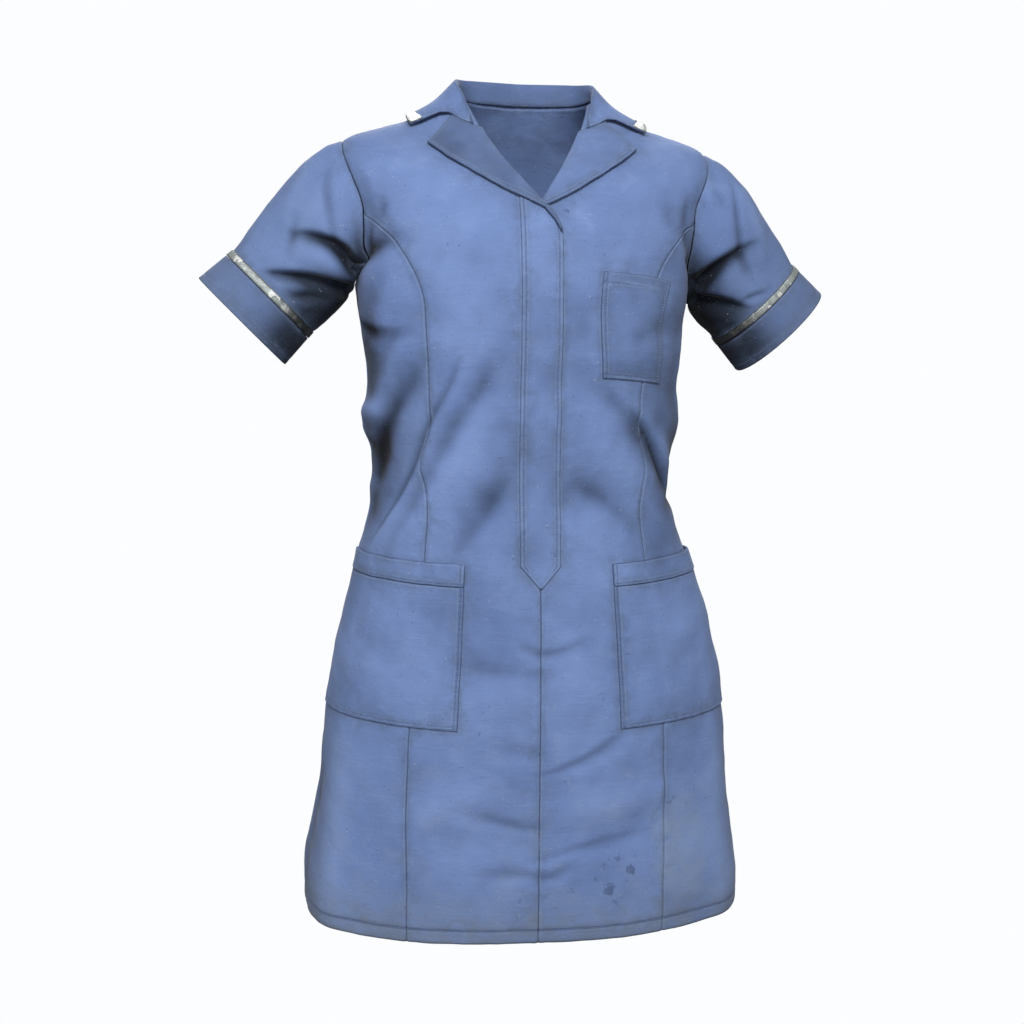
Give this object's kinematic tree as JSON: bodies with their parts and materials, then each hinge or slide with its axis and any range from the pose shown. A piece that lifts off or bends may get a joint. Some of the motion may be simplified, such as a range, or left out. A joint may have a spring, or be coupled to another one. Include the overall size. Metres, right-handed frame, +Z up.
{
  "type": "nurse uniform dress",
  "caption": "Short-sleeved nurse's tunic dress in its worn, hollow form, with a notched collar, covered front closure, chest and hip pockets, turned-up braided cuffs and an A-line skirt.",
  "frame": {"origin": "middle of the neck at the height of the shoulders that carry the dress, 0.880 m above the hem", "axes": "+Z up; the wearer faces -Y, and the wearer's left is +X"},
  "size_m": [0.7078, 0.3006, 0.9338],
  "materials": {
    "twill": "mid-blue polycotton twill, matt, lightly worn and soiled at the hem",
    "braid": "narrow silver-grey woven braid with a soft metallic glint"
  },
  "bodies": {
    "root": {"back": "twill", "chest_pocket": "twill", "collar": "twill", "collar_braid": "braid", "cuff_left": "twill", "cuff_right": "twill", "front_centre_left": "twill", "front_centre_right": "twill", "front_side_left": "twill", "front_side_right": "twill", "hip_pocket_left": "twill", "hip_pocket_right": "twill", "hip_welt_left": "twill", "hip_welt_right": "twill", "lapel_left": "twill", "lapel_right": "twill", "placket": "twill", "sleeve_braid_left": "braid", "sleeve_braid_right": "braid", "sleeve_left": "twill", "sleeve_right": "twill"}
  },
  "joints": []
}
